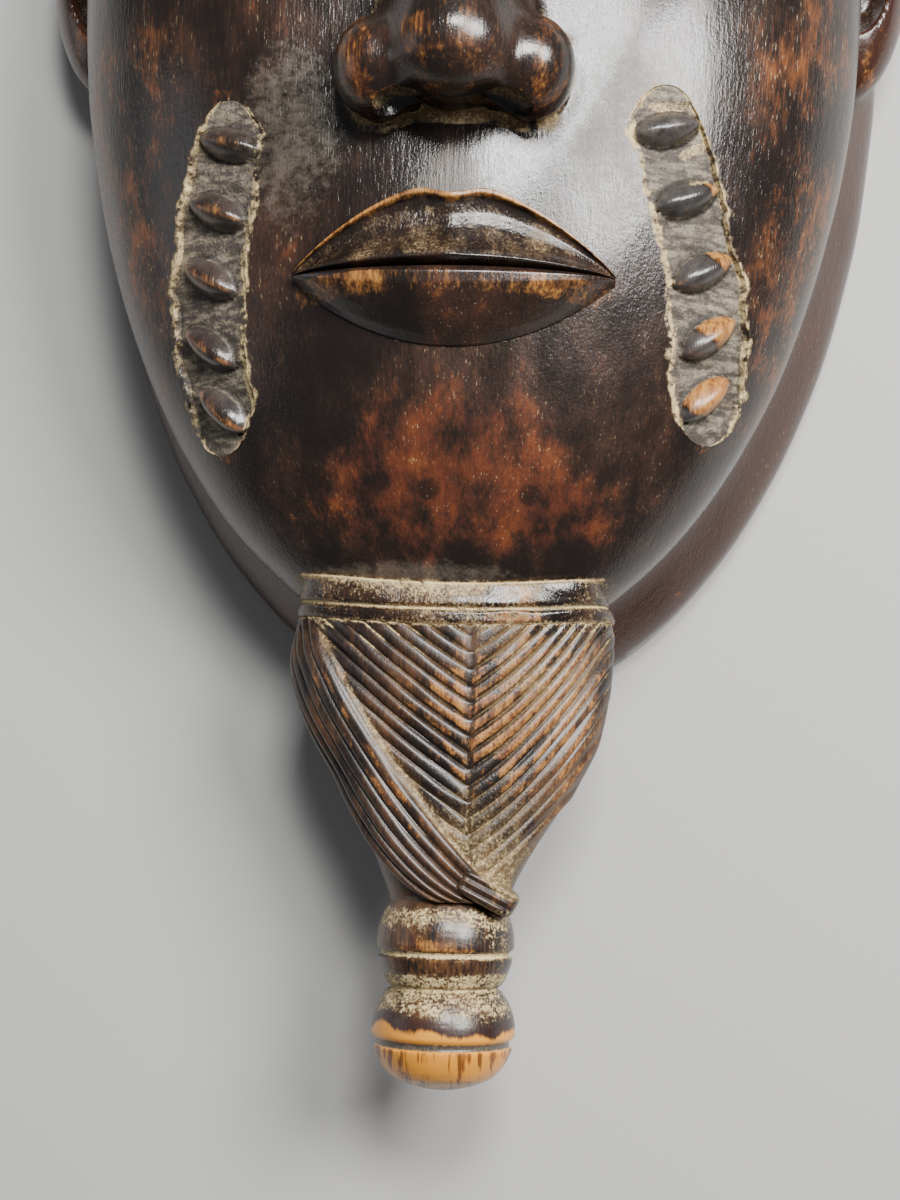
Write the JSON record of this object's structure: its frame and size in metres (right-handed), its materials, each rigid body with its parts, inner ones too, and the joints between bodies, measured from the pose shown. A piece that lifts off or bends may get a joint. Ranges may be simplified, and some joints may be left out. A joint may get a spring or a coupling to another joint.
{
  "type": "african mask",
  "caption": "Carved wooden face mask with a hollow back, raised cheek marks, combed hair and a plaited beard that ends in turned knobs.",
  "frame": {"origin": "on the plane of the flat back rim, under the middle of the whole mask's length and width", "axes": "+Z out of the face, +Y from the beard to the crown, +X to the right as one looks at the face"},
  "size_m": [0.1854, 0.3718, 0.0956],
  "materials": {
    "mask_wood": "dark patinated hardwood, rubbed glossy on the high parts, dusty in the cuts"
  },
  "bodies": {
    "root": {"mask": "mask_wood"}
  },
  "joints": []
}
